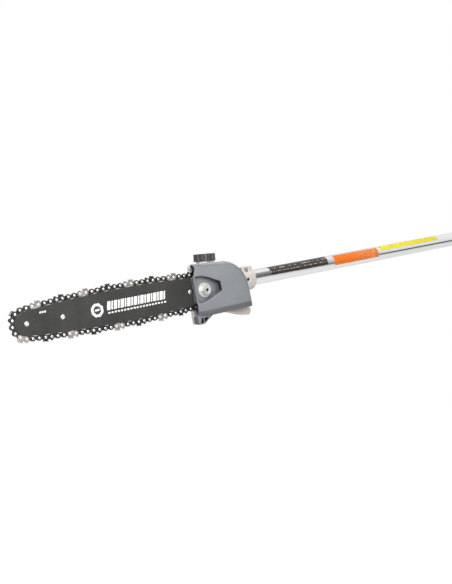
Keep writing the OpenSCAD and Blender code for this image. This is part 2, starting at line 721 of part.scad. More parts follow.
// the cone's apex is the origin and the big end lies at +Z = height
module bevel_teeth(teeth, r, height, add, ded, face) {
    mirror([0, 0, 1]) translate([0, 0, -height])
        linear_extrude(height = face, scale = (height - face) / height)
            bevel_outline(teeth, r, add, ded, 0.205);
}
module bevel_wheel() {
    color("#9c9ea0") translate([0, bar_offset, 0]) rotate([90, 0, 0]) difference() {
        union() {
            bevel_teeth(wheel_teeth, wheel_r, pinion_r, 0.75, 1.7, 4.4);
            translate([0, 0, pinion_r]) cylinder(h = 6, r1 = wheel_r - 1.6, r2 = 12);
            translate([0, 0, pinion_r]) cylinder(h = bar_offset - pinion_r - 25.2, r = 8.5);
        }
        translate([0, 0, -1]) cylinder(h = 40, r = spindle_r + fit);
    }
}
module bevel_pinion() {
    color("#9c9ea0") translate([0, bar_offset, 0]) rotate([0, 90, 0]) difference() {
        union() {
            bevel_teeth(pinion_teeth, pinion_r, wheel_r, 0.75, 1.7, 5.4);
            translate([0, 0, wheel_r]) cylinder(h = 8, r = 9);
            translate([0, 0, wheel_r + 7]) cylinder(h = 25.5, r = 5);
        }
        translate([-3 - fit, -3 - fit, 32]) cube([6 + 2 * fit, 6 + 2 * fit, 30]);
    }
}
// round at the head and square where it slides in the drive tube
module drive_rod() {
    color("#a7a9ab") {
        x_square(33, 51, 3);
        x_cyl(51, rod_square_x, rod_half);
        x_square(rod_square_x, rod_end_x, rod_half);
    }
}
module drive_tube() {
    color("#a7a9ab") difference() {
        x_cyl(shaft_front_x, shaft_rear_x, shaft_r);
        x_square(shaft_front_x - 1, shaft_rear_x - 20, rod_half + 0.15);
    }
}
module drive_dog() {
    color("#c7c9cb") {
        x_cyl(shaft_rear_x, shaft_rear_x + 24, 5);
        x_square(shaft_rear_x + 24, rear_end_x + stub_reach - 18, 3);
    }
}

// ---------- pole ----------
label_t = 0.14;
front_bore = front_tube_d / 2 - tube_wall;
rear_bore = rear_tube_d / 2 - tube_wall;
module front_tube() {
    color("#dfe1e3") x_tube(tube_seat_x, front_tube_end_x, front_tube_d / 2, front_bore);
}
// a sticker on the front tube, between two angles measured up from the near side
module label(x0, x1, a0, a1) {
    rotate([-a1, 0, 0]) rotate([0, 90, 0]) translate([0, 0, x0]) rotate([0, 0, -90])
        rotate_extrude(angle = a1 - a0)
            translate([front_tube_d / 2 + 0.03, 0]) square([label_t, x1 - x0]);
}
module label_dark() { color("#3d342f") label(133, 264, -5, 80); }
module label_orange() { color("#d8692b") label(280, 390, -24, 64); }
module label_yellow() { color("#e8d23c") label(398, 555, 22, 80); }
module tube_bushes() {
    color("#1f1f1f") for (x = [150, 330, 510]) difference() {
        union() {
            x_tube(x, x + 14, front_bore - 0.05, front_bore - 2.5);
            for (a = [0, 120, 240]) rotate([a, 0, 0])
                translate([x, -1.2, rod_half + 1.2]) cube([14, 2.4, 4.6]);
            x_tube(x, x + 14, rod_half + 2, rod_half + 0.1);
        }
        x_cyl(x - 1, x + 15, rod_half + 0.1);
    }
}
module carrier_bush() {
    color("#1f1f1f")
        x_tube(front_tube_end_x - carrier_len, front_tube_end_x, front_bore - 0.02, shaft_r + 0.1);
}
module rear_tube() {
    color("#c9cbcd") difference() {
        x_tube(rear_front_x, rear_end_x, rear_tube_d / 2, rear_bore);
        z_cyl(rear_end_x - 30, 0, 0, 30, 2.6);
    }
}
module slide_bush() {
    color("#1f1f1f")
        x_tube(rear_front_x - 2, rear_front_x + 28, rear_bore - 0.02, front_tube_d / 2 + 0.1);
}
clamp_r = 21;
clamp_x0 = rear_front_x - 22;
clamp_x1 = rear_front_x + 26;
bolt_x = rear_front_x - 10;
bolt_z = -26.5;
ear_y = 11;
lever_y = ear_y + 8.5;
module lock_clamp() {
    color("#2a2a2a") difference() {
        union() {
            x_cyl(clamp_x0, clamp_x1, clamp_r);
            translate([clamp_x0 + 2, -ear_y, bolt_z - 7]) cube([24, 2 * ear_y, 17]);
            translate([clamp_x1 - 16, -9, 14]) cube([12, 18, 9.5]);
        }
        x_cyl(clamp_x0 - 1, rear_front_x - 2.1, front_tube_d / 2 + 0.15);
        x_cyl(rear_front_x - 2.2, clamp_x1 + 1, rear_tube_d / 2 + fit);
        translate([clamp_x0 - 1, -1.25, bolt_z - 10]) cube([30, 2.5, 22]);
        y_cyl(bolt_x, bolt_z, -20, 20, 3.1);
        for (y = [-5, 5]) z_cyl(clamp_x1 - 10, y, 10, 30, 1.9);
    }
}
module clamp_screws() {
    color("#b9bbbc") for (y = [-5, 5]) {
        z_cyl(clamp_x1 - 10, y, rear_tube_d / 2 + 0.4, 23.6, 1.85);
        z_cyl(clamp_x1 - 10, y, 23.6, 25.8, 3.3);
    }
}
// eye bolt: the lever's pin passes through its head
module lock_bolt() {
    color("#b9bbbc") difference() {
        union() {
            y_cyl(bolt_x, bolt_z, -ear_y - 8, lever_y, 3);
            z_cyl(bolt_x, lever_y, bolt_z - 3.5, bolt_z + 3.5, 4.6);
        }
        z_cyl(bolt_x, lever_y, bolt_z - 10, bolt_z + 10, 2 + fit);
    }
}
module lock_nut() {
    color("#b9bbbc") difference() {
        union() {
            y_hex(bolt_x, bolt_z, -ear_y - 6.5, -ear_y - 1.2, 10);
            y_cyl(bolt_x, bolt_z, -ear_y - 1.2, -ear_y - 0.05, 6.5);
        }
        y_cyl(bolt_x, bolt_z, -30, 0, 3 + fit);
    }
}
module lever_pin() { color("#b9bbbc") z_cyl(bolt_x, lever_y, bolt_z - 8, bolt_z + 8, 2); }
lever_half_h = 7.6;
module lock_lever() {
    tip_x = bolt_x + 62;
    color("#c8532a") difference() {
        union() {
            z_cyl(bolt_x, lever_y, bolt_z - lever_half_h, bolt_z + lever_half_h, 8.4);
            translate([0, 0, bolt_z - lever_half_h]) linear_extrude(2 * lever_half_h) polygon(concat(
                [[bolt_x + 4, lever_y - 5.5], [bolt_x + 30, lever_y - 2]],
                arc(tip_x, lever_y + 1.5, 3.5, -90, 90, 8),
                [[bolt_x + 30, lever_y + 5.5], [bolt_x, lever_y + 7.7]]));
        }
        z_cyl(bolt_x, lever_y, bolt_z - 20, bolt_z + 20, 2 + fit);
        // fork slot for the eye of the bolt
        translate([bolt_x - 10, lever_y - 12, bolt_z - 3.9]) cube([17, 24, 7.8]);
    }
}
grip_x0 = rear_front_x + 150;
module foam_grip() {
    color("#232323") x_tube(grip_x0, grip_x0 + grip_len, 19.5, rear_tube_d / 2 + fit);
}
module grip_ring() {
    color("#3a3a3a") for (x = [grip_x0 - 7, grip_x0 + grip_len + 1])
        x_tube(x, x + 6, 18, rear_tube_d / 2 + fit);
}
module coupling_stub() {
    color("#bfc1c4") difference() {
        union() {
            x_cyl(stub_inner_x, rear_end_x + stub_reach, stub_r);
            x_cyl(rear_end_x - 46, rear_end_x, rear_bore - 0.02);
            x_cyl(rear_end_x, rear_end_x + 4, rear_tube_d / 2);
        }
        x_cyl(stub_inner_x - 1, rear_end_x + stub_reach + 1, stub_r - stub_wall);
        z_cyl(rear_end_x - 30, 0, 0, 30, 2.5);
        z_cyl(rear_end_x + stub_reach - 25, 0, 0, 30, 4);
    }
}
module stub_screw() {
    color("#b9bbbc") difference() {
        union() {
            z_cyl(rear_end_x - 30, 0, stub_r - stub_wall + 0.2, 15.3, 2.45);
            z_cyl(rear_end_x - 30, 0, 15.25, 17.4, 4.4);
        }
        translate([rear_end_x - 30, 0, 16.2]) cylinder(h = 3, r = 1.8, $fn = 6);
    }
}
module stub_bearing() {
    color("#c4c6c8") translate([rear_end_x, 0, 0]) rotate([0, 90, 0])
        bearing(stub_r - stub_wall - 0.02, 5, bearing_w);
}

in_head() bar_plate_near();
in_head() bar_plate_far();
in_head() bar_core();
in_head() bar_rivets();
in_head() nose_hub();
in_head() nose_sprocket();
in_head() drive_links();
in_head() tie_straps();
in_head() cutters_near();
in_head() cutters_far();
in_head() chain_rivets();
in_head() tension_block();
in_head() tension_screw();
in_head() gear_case();
in_head() case_cap();
in_head() tank_screws();
in_head() guide_plate();
in_head() bar_stud();
in_head() side_cover();
in_head() cover_washer();
in_head() bar_nut();
in_head() pinch_screw();
in_head() locating_screw();
in_head() oil_tank();
in_head() cap_seal();
in_head() oil_cap();
in_head() oil_pump();
in_head() pump_wheel();
in_head() pump_worm();
in_head() spindle();
in_head() spindle_bearings();
in_head() sprocket_clip();
in_head() drive_sprocket();
in_head() bevel_wheel();
in_head() bevel_pinion();
in_head() pinion_bearings();
in_head() bearing_ring();
on_pole() front_tube();
on_pole() label_dark();
on_pole() label_orange();
on_pole() label_yellow();
on_pole() tube_bushes();
on_pole() drive_rod();
on_pole() carrier_bush();
on_pole() rear_tube();
on_pole() slide_bush();
on_pole() lock_clamp();
on_pole() clamp_screws();
on_pole() lock_bolt();
on_pole() lock_nut();
on_pole() lock_lever();
on_pole() lever_pin();
on_pole() foam_grip();
on_pole() grip_ring();
on_pole() coupling_stub();
on_pole() stub_screw();
on_pole() stub_bearing();
on_pole() drive_tube();
on_pole() drive_dog();
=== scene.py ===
"""Looks of the telescoping pole saw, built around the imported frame.

Lengths are metres in the part's own frame: X runs back along the pole, Z is up,
and the guide bar lies on the -Y side. Every place comes from a node's box.
"""
import json
import math

import bmesh
import bpy
from mathutils import Matrix, Vector


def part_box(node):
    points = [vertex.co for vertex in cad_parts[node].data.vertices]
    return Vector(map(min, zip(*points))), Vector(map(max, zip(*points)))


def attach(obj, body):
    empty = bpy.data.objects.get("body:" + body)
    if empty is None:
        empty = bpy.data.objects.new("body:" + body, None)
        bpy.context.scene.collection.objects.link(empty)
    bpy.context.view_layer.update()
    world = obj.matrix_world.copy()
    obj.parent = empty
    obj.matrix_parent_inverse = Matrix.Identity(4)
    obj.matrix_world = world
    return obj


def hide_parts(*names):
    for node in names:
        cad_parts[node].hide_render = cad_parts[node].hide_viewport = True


MM = 0.001
TUBE_RADIUS = 0.013

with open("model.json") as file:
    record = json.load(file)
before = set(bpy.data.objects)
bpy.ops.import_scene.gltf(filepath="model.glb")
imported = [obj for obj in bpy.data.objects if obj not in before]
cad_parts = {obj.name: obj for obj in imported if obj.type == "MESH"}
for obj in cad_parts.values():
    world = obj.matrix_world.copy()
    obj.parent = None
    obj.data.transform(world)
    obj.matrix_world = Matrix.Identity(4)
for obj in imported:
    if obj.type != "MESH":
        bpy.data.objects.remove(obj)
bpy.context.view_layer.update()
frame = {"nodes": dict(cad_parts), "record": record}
nodes = frame["nodes"]
body_of = {n: b for b, ns in frame["record"]["behaviour"]["bodies"].items() for n in ns}
slot_of = {n: o.material_slots[0].material.name for n, o in nodes.items()}
for plain in list(bpy.data.materials):
    bpy.data.materials.remove(plain)


def centre(node):
    low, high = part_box(node)
    return (low + high) / 2


# ---------- node graphs ----------
class Graph:
    """A material's nodes. Each call adds a node and gives back its output."""

    def __init__(self, name, roughness=0.5, metallic=0.0, **sockets):
        self.material = bpy.data.materials.new(name)
        self.material.use_nodes = True
        self.tree = self.material.node_tree
        self.tree.nodes.clear()
        self.shader = self.add("ShaderNodeBsdfPrincipled")
        out = self.add("ShaderNodeOutputMaterial")
        self.tree.links.new(self.shader.outputs[0], out.inputs["Surface"])
        self.place = self.add("ShaderNodeTexCoord").outputs["Object"]
        self.feed(self.shader.inputs["Roughness"], roughness)
        self.feed(self.shader.inputs["Metallic"], metallic)
        for socket, value in sockets.items():
            self.feed(self.shader.inputs[socket.replace("_", " ")], value)
        self.normal = None

    def add(self, kind, **settings):
        node = self.tree.nodes.new(kind)
        for key, value in settings.items():
            setattr(node, key, value)
        return node

    def feed(self, socket, value):
        if isinstance(value, bpy.types.NodeSocket):
            self.tree.links.new(value, socket)
        elif value is not None:
            if socket.type == "RGBA" and len(value) == 3:
                value = (*value, 1)
            socket.default_value = value

    def math(self, operation, a, b=None, c=None):
        node = self.add("ShaderNodeMath", operation=operation)
        for socket, value in zip(node.inputs, (a, b, c)):
            self.feed(socket, value)
        return node.outputs[0]

    def stretch(self, scale):
        """Object coordinates in metres, multiplied along each axis."""
        node = self.add("ShaderNodeMapping")
        self.feed(node.inputs["Vector"], self.place)
        node.inputs["Scale"].default_value = scale
        return node.outputs[0]

    def noise(self, size, detail=2.0, rough=0.5, at=None):
        """Noise whose blobs are about size metres across."""
        node = self.add("ShaderNodeTexNoise")
        self.feed(node.inputs["Vector"], self.place if at is None else at)
        node.inputs["Scale"].default_value = 1 / size
        node.inputs["Detail"].default_value = detail
        node.inputs["Roughness"].default_value = rough
        return node.outputs[0]

    def cells(self, size):
        """The distance to the nearest of scattered points about size metres apart."""
        node = self.add("ShaderNodeTexVoronoi")
        self.feed(node.inputs["Vector"], self.place)
        node.inputs["Scale"].default_value = 1 / size
        return node.outputs["Distance"]

    def between(self, value, low, high, start=0.0, end=1.0):
        """start below low, end above high, and even in between."""
        node = self.add("ShaderNodeMapRange", clamp=True)
        for socket, v in zip(node.inputs, (value, low, high, start, end)):
            self.feed(socket, v)
        return node.outputs[0]

    def mix(self, share, a, b):
        node = self.add("ShaderNodeMix", data_type="RGBA")
        self.feed(node.inputs[0], share)
        self.feed(node.inputs[6], a)
        self.feed(node.inputs[7], b)
        return node.outputs[2]

    def axis(self, index):
        node = self.add("ShaderNodeSeparateXYZ")
        self.feed(node.inputs[0], self.place)
        return node.outputs[index]

    def vector(self, x, y, z):
        node = self.add("ShaderNodeCombineXYZ")
        for socket, value in zip(node.inputs, (x, y, z)):
            self.feed(socket, value)
        return node.outputs[0]

    def edges(self, radius):
        """1 on the edges of the shape, from how far a rounded normal turns away."""
        bevel = self.add("ShaderNodeBevel", samples=6)
        bevel.inputs["Radius"].default_value = radius
        true = self.add("ShaderNodeNewGeometry").outputs["Normal"]
        dot = self.add("ShaderNodeVectorMath", operation="DOT_PRODUCT")
        self.feed(dot.inputs[0], bevel.outputs[0])
        self.feed(dot.inputs[1], true)
        return self.between(self.math("SUBTRACT", 1.0, dot.outputs["Value"]), 0.04, 0.22)

    def round_edges(self, radius):
        bevel = self.add("ShaderNodeBevel", samples=6)
        bevel.inputs["Radius"].default_value = radius
        self.normal = bevel.outputs[0]

    def corner_shade(self, reach):
        """1 in corners and deep places, where shade falls; the materials paint shade with it."""
        open_sky = self.add("ShaderNodeAmbientOcclusion", samples=8, only_local=True)
        open_sky.inputs["Distance"].default_value = reach
        return self.between(open_sky.outputs["AO"], 0.5, 0.95, 1.0, 0.0)

    def bump(self, height, depth):
        """height from 0 to 1 becomes depth metres of relief on top of the earlier bumps."""
        node = self.add("ShaderNodeBump")
        node.inputs["Strength"].default_value = 1.0
        node.inputs["Distance"].default_value = depth
        self.feed(node.inputs["Height"], height)
        self.feed(node.inputs["Normal"], self.normal)
        self.normal = node.outputs[0]

    def done(self, colour, roughness=None, metallic=None):
        self.feed(self.shader.inputs["Base Color"], colour)
        self.feed(self.shader.inputs["Roughness"], roughness)
        self.feed(self.shader.inputs["Metallic"], metallic)
        self.feed(self.shader.inputs["Normal"], self.normal)
        return self.material


def shade(colour, factor):
    return tuple(c * factor for c in colour)


# ---------- materials ----------
def facing_of(g):
    """The three parts of the surface's own direction, each from -1 to 1."""
    split = g.add("ShaderNodeSeparateXYZ")
    g.feed(split.inputs[0], g.add("ShaderNodeTexCoord").outputs["Normal"])
    return split.outputs


def cover_painted_shading(g, base, colour, streaks, hollow):
    """Painted light and shade on the cover: a painted dark band where the face starts to turn, a painted
    highlight on shoulders that face up, patchy painted shade on faces that look down, and painted shade
    in corners and on deep faces that look along -X.
    """
    facing = facing_of(g)
    turn, up = g.math("ADD", facing[1], 1.0), facing[2]
    # painted shade: a dark band where the face starts to turn away
    line = g.math("MULTIPLY", g.between(turn, 0.02, 0.1), g.between(turn, 0.22, 0.4, 1.0, 0.0))
    base = g.mix(g.math("MULTIPLY", line, 0.5), base, shade(colour, 0.5))
    # painted highlight on the shoulders that face up
    pale = g.math("MULTIPLY", g.between(turn, 0.35, 0.6), g.between(up, 0.1, 0.4))
    base = g.mix(g.math("MULTIPLY", pale, 0.5), base, shade(colour, 1.4))
    # painted shade on faces that look down, broken up by the streaks
    patchy = g.between(streaks, 0.3, 0.6, 0.4, 0.9)
    underside_shade = g.math("MULTIPLY", g.between(up, -0.6, -0.1, 1.0, 0.0), patchy)
    base = g.mix(g.math("MULTIPLY", underside_shade, 0.5), base, shade(colour, 0.55))
    # painted shade in corners and deep places
    base = g.mix(g.math("MULTIPLY", g.corner_shade(0.014), hollow), base, shade(colour, 0.12))
    # painted shade on deep faces that look along -X, such as the recess wall
    fronts = g.between(facing[0], -0.75, -0.35, 1.0, 0.0)
    deep_fronts = g.math("MULTIPLY", fronts, g.corner_shade(0.03))
    return g.mix(g.math("MULTIPLY", deep_fronts, 0.9), base, shade(colour, 0.1))


def moulded(name, colour, depth=0.00006, rough=0.5, hollow=0.0, soft=0.0005):
    """Moulded plastic: spark-eroded grain, a polished look on the edges, scuffs and dust."""
    g = Graph(name)
    g.round_edges(soft)
    mottle = g.noise(0.03, 3)
    streaks = g.noise(0.02, 4, at=g.stretch((1, 1, 0.12)))
    edge = g.edges(0.0009)
    scratch = g.between(g.noise(0.006, 5, 0.7, g.stretch((0.25, 1, 3.2))), 0.66, 0.72)
    base = g.mix(g.between(mottle, 0.3, 0.7), shade(colour, 0.93), shade(colour, 1.06))
    base = g.mix(g.math("MULTIPLY", streaks, 0.06), base, (0.55, 0.53, 0.5))
    base = g.mix(g.math("MULTIPLY", edge, 0.35), base, shade(colour, 1.7))
    base = g.mix(g.math("MULTIPLY", scratch, 0.08), base, (0.6, 0.6, 0.6))
    # when hollow is given, light and shade are painted onto the colour
    if hollow:
        base = cover_painted_shading(g, base, colour, streaks, hollow)
        g.shader.inputs["Specular IOR Level"].default_value = 0.3
    g.bump(g.noise(0.0006, 2, 0.6), depth)
    g.bump(scratch, -0.00002)
    roughness = g.between(mottle, 0.25, 0.75, rough - 0.05, rough + 0.07)
    return g.done(base, g.math("SUBTRACT", roughness, g.math("MULTIPLY", edge, 0.12)))


def cast(name, colour):
    """Die-cast alloy: orange-peel skin, small pits, painted shade in corners and deep places, and bright
    rubbed edges.
    """
    g = Graph(name, metallic=0.5)
    g.round_edges(0.0008)
    skin = g.noise(0.0012, 4, 0.65)
    blotch = g.noise(0.018, 4, 0.6)
    pit = g.between(g.cells(0.0035), 0.05, 0.16, 1.0, 0.0)
    pit = g.math("MULTIPLY", pit, g.between(g.noise(0.01), 0.55, 0.6))
    edge = g.edges(0.0012)
    base = g.mix(g.between(blotch, 0.3, 0.7), shade(colour, 0.86), shade(colour, 1.05))
    base = g.mix(g.math("MULTIPLY", pit, 0.6), base, shade(colour, 0.3))
    base = g.mix(g.math("MULTIPLY", edge, 0.5), base, (0.88, 0.86, 0.84))
    # painted shade in corners and deep places
    base = g.mix(g.math("MULTIPLY", g.corner_shade(0.02), 0.85), base, shade(colour, 0.06))
    g.bump(skin, 0.00018)
    g.bump(pit, -0.0002)
    roughness = g.between(blotch, 0.3, 0.7, 0.58, 0.45)
    return g.done(base, g.math("SUBTRACT", roughness, g.math("MULTIPLY", edge, 0.15)))


def metal(name, colour, rough=0.3, lines=(1, 1, 1), wear=0.3, tint=None, hollow=0.0):
    """Worked steel: fine tool lines along the stretched axes, stains, and bright edges."""
    g = Graph(name, metallic=1.0)
    g.round_edges(0.00025)
    grain = g.noise(0.0004, 3, 0.6, g.stretch(lines))
    stain = g.noise(0.012, 4, 0.6)
    edge = g.edges(0.0005)
    base = g.mix(g.between(grain, 0.35, 0.65), shade(colour, 0.88), shade(colour, 1.08))
    base = g.mix(g.between(stain, 0.5, 0.75, 0.0, 0.35), base, tint or shade(colour, 0.6))
    base = g.mix(g.math("MULTIPLY", edge, wear), base, (0.82, 0.82, 0.81))
    # painted shade in corners and deep places
    if hollow:
        base = g.mix(g.math("MULTIPLY", g.corner_shade(0.004), hollow), base, (0.03, 0.028, 0.026))
    g.bump(grain, 0.000012)
    roughness = g.between(stain, 0.3, 0.7, rough - 0.06, rough + 0.1)
    return g.done(base, roughness)


def tube_metal(name, colour, rough):
    """Drawn tube: lines along its length, sliding scratches, faint hand marks."""
    g = Graph(name, metallic=1.0)
    drawn = g.noise(0.0012, 3, 0.6, g.stretch((0.012, 1, 1)))
    scratch = g.between(g.noise(0.004, 4, 0.7, g.stretch((0.08, 1.6, 1.6))), 0.64, 0.7)
    smear = g.noise(0.05, 4, 0.6)
    base = g.mix(g.between(drawn, 0.35, 0.65), shade(colour, 0.95), shade(colour, 1.03))
    base = g.mix(g.math("MULTIPLY", scratch, 0.25), base, shade(colour, 0.6))
    g.bump(drawn, 0.000006)
    g.bump(scratch, -0.00001)
    roughness = g.between(smear, 0.35, 0.7, rough, rough + 0.1)
    return g.done(base, roughness)


def bar_paint():
    """Charcoal paint on the bar: lengthwise grain, hairline scratches, wear along the rails."""
    g = Graph("bar_paint")
    g.round_edges(0.0003)
    grain = g.noise(0.0012, 3, 0.6, g.stretch((0.06, 1, 1)))
    cloud = g.noise(0.03, 4, 0.6)
    scratch = g.between(g.noise(0.005, 5, 0.75, g.stretch((0.15, 1, 2.6))), 0.68, 0.715)
    edge = g.edges(0.0007)
    colour = (0.028, 0.028, 0.026)
    base = g.mix(g.between(cloud, 0.3, 0.7), shade(colour, 0.85), shade(colour, 1.15))
    base = g.mix(g.between(grain, 0.3, 0.7, 0.0, 0.5), base, shade(colour, 1.25))
    worn = g.math("MULTIPLY", edge, g.between(g.noise(0.002, 3), 0.35, 0.6))
    base = g.mix(g.math("MULTIPLY", scratch, 0.22), base, (0.3, 0.3, 0.3))
    base = g.mix(g.math("MULTIPLY", worn, 0.8), base, (0.4, 0.4, 0.41))
    g.bump(grain, 0.00001)
    return g.done(base, g.between(cloud, 0.3, 0.7, 0.36, 0.48), g.math("MULTIPLY", worn, 0.8))


def cutter_metal():
    """Cutters: hard chrome on the outer faces, and nearly black on the faces towards the bar."""
    g = Graph("cutter_chrome", metallic=1.0)
    g.round_edges(0.0003)
    middle = centre("bar_core").y
    side = g.math("SIGN", g.math("SUBTRACT", g.axis(1), middle))
    inward = g.between(g.math("MULTIPLY", facing_of(g)[1], side), -0.6, -0.4, 1.0, 0.0)
    grind = g.noise(0.0005, 3, 0.6, g.stretch((1, 1, 0.2)))
    stain = g.noise(0.006, 4, 0.6)
    chrome = g.mix(g.between(grind, 0.3, 0.7), (0.62, 0.56, 0.535), (0.83, 0.775, 0.75))
    chrome = g.mix(g.between(stain, 0.55, 0.8, 0.0, 0.5), chrome, (0.45, 0.38, 0.34))
    base = g.mix(inward, chrome, (0.07, 0.068, 0.066))
    g.bump(grind, 0.00002)
    return g.done(base, g.between(stain, 0.3, 0.7, 0.26, 0.42))


def white_ink():
    """Screen-printed white ink: slightly uneven cover, small rubbed gaps that show grey."""
    g = Graph("bar_print_white", Specular_IOR_Level=0.3)
    cover = g.noise(0.003, 4, 0.6)
    gaps = g.between(g.noise(0.0009, 4, 0.8), 0.66, 0.72)
    base = g.mix(g.between(cover, 0.3, 0.7), (0.66, 0.66, 0.65), (0.80, 0.80, 0.79))
    g.bump(cover, 0.00001)
    return g.done(g.mix(g.math("MULTIPLY", gaps, 0.7), base, (0.18, 0.18, 0.18)), 0.5)


def rubber(name, colour, cell=0.0009, depth=0.00022, rough=0.85):
    """Foam or rubber: an open cell skin with paler rubbed high spots."""
    g = Graph(name, roughness=rough)
    skin = g.cells(cell)
    rub = g.noise(0.02, 4, 0.6)
    base = g.mix(g.between(skin, 0.0, 0.6), shade(colour, 1.5), shade(colour, 0.7))
    base = g.mix(g.between(rub, 0.52, 0.75, 0.0, 0.25), base, (0.16, 0.155, 0.15))
    g.bump(skin, -depth)
    g.bump(g.noise(cell * 3, 3), depth)
    return g.done(base)


def milky_tank():
    """Natural polyethylene: milky, waxy, a little light passes into it."""
    g = Graph("tank_plastic", Subsurface_Weight=0.35, Subsurface_Scale=0.004)
    g.round_edges(0.0008)
    g.shader.inputs["Subsurface Radius"].default_value = (1.0, 0.8, 0.55)
    cloud = g.noise(0.02, 3)
    base = g.mix(g.between(cloud, 0.3, 0.7), (0.74, 0.71, 0.65), (0.84, 0.82, 0.77))
    g.bump(g.noise(0.0009, 2), 0.00005)
    return g.done(base, g.between(cloud, 0.3, 0.7, 0.36, 0.5))


def film(name, colour, rough=0.28):
    """The printed film of a label, its graph still open for the print."""
    g = Graph(name, Coat_Weight=0.12, Coat_Roughness=0.2, Specular_IOR_Level=0.3)
    cloud = g.noise(0.02, 3)
    base = g.mix(g.between(cloud, 0.3, 0.7), shade(colour, 0.92), shade(colour, 1.06))
    roughness = g.between(cloud, 0.3, 0.7, rough, rough + 0.12)
    around = g.math("ARCTAN2", g.axis(2), g.math("MULTIPLY", g.axis(1), -1.0))
    arc = g.math("MULTIPLY", around, TUBE_RADIUS)
    return g, base, roughness, arc


def print_rows(g, arc, rows, height, share):
    """Rows of plain dashes along the tube, each row at an arc length up from the near side."""
    blur = 0.0001
    total = None
    for k, row in enumerate(rows):
        inside = g.math(
            "MULTIPLY",
            g.between(arc, row - height / 2 - blur, row - height / 2),
            g.between(arc, row + height / 2, row + height / 2 + blur, 1.0, 0.0),
        )
        dash = g.noise(0.006, 3, 0.8, g.vector(g.axis(0), k * 0.37, 0.0))
        mask = g.math("MULTIPLY", inside, g.between(dash, share, share + 0.02))
        total = mask if total is None else g.math("MAXIMUM", total, mask)
    return total


def label_materials():
    """The three films: two with rows of dashes, and the orange one scuffed at its rear."""
    g, base, rough, arc = film("label_dark", (0.034, 0.026, 0.022))
    dashes = print_rows(g, arc, (0.0046, 0.0104), 0.0017, 0.5)
    base = g.mix(g.math("MULTIPLY", dashes, 0.6), base, (0.55, 0.52, 0.49))
    dark = g.done(base, rough)
    g, base, rough, arc = film("label_orange", (0.74, 0.15, 0.003), 0.2)
    slant = g.vector(g.math("ADD", g.axis(0), g.math("MULTIPLY", arc, 2.2)), arc, 0.0)
    scuff = g.noise(0.004, 4, 0.7, slant)
    low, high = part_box("label_orange")
    rear = g.between(g.axis(0), low.x + 0.02, high.x - 0.015)
    scuff = g.math("MULTIPLY", g.between(scuff, 0.46, 0.6), rear)
    base = g.mix(g.math("MULTIPLY", scuff, 0.6), base, (0.72, 0.46, 0.22))
    orange = g.done(base, rough)
    g, base, rough, arc = film("label_yellow", (0.80, 0.69, 0.015))
    dashes = print_rows(g, arc, (0.0085, 0.0125), 0.0009, 0.57)
    base = g.mix(g.math("MULTIPLY", dashes, 0.8), base, (0.08, 0.07, 0.05))
    return {"label_dark": dark, "label_orange": orange, "label_yellow": g.done(base, rough)}


ALONG_X = (0.05, 1, 1)
library = {
    "bar_paint": bar_paint(),
    "bar_steel": metal("bar_steel", (0.34, 0.34, 0.35), 0.36, ALONG_X),
    "bright_steel": metal("bright_steel", (0.93, 0.92, 0.90), 0.4, wear=0.1),
    "dark_steel": metal("dark_steel", (0.2, 0.2, 0.21), 0.4),
    "blued_steel": metal("blued_steel", (0.085, 0.083, 0.082), 0.34, wear=0.35, tint=(0.16, 0.12, 0.09)),
    "cutter_chrome": cutter_metal(),
    # zinc: painted shade in its corners and deep places
    "zinc_steel": metal("zinc_steel", (0.68, 0.68, 0.67), 0.6, tint=(0.72, 0.70, 0.62), hollow=0.9),
    "cast_alloy": cast("cast_alloy", (0.68, 0.62, 0.57)),
    "tank_plastic": milky_tank(),
    "brass_gear": metal("brass_gear", (0.62, 0.47, 0.22), 0.32),
    "gear_steel": metal("gear_steel", (0.42, 0.42, 0.43), 0.34, tint=(0.3, 0.26, 0.2)),
    "bearing_steel": metal("bearing_steel", (0.62, 0.63, 0.64), 0.22),
    # the cover: painted light and shade on its shoulders, underside and deep places
    "cover_plastic": moulded("cover_plastic", (0.182, 0.192, 0.207), rough=0.4, hollow=0.95, soft=0.004),
    "black_plastic": moulded("black_plastic", (0.03, 0.03, 0.029), rough=0.3),
    "seal_rubber": rubber("seal_rubber", (0.02, 0.02, 0.02), 0.0006, 0.00005, 0.7),
    "black_steel": metal("black_steel", (0.05, 0.05, 0.05), 0.42, wear=0.5),
    "pole_bright": tube_metal("pole_bright", (0.83, 0.84, 0.85), 0.11),
    "bush_plastic": moulded("bush_plastic", (0.03, 0.03, 0.03), rough=0.55),
    "pole_satin": tube_metal("pole_satin", (0.62, 0.63, 0.64), 0.3),
    "clamp_plastic": moulded("clamp_plastic", (0.03, 0.03, 0.032), depth=0.00009, rough=0.5),
    "lever_plastic": moulded("lever_plastic", (0.66, 0.15, 0.03), rough=0.34),
    "grip_foam": rubber("grip_foam", (0.02, 0.02, 0.02)),
    "stub_steel": tube_metal("stub_steel", (0.55, 0.56, 0.57), 0.28),
    "bar_print_white": white_ink(),
    **label_materials(),
}


def paint(obj, slot):
    """Gives an object the one material of its slot."""
    obj.data.materials.clear()
    obj.data.materials.append(library[slot])


for name, node in nodes.items():
    paint(node, slot_of[name])


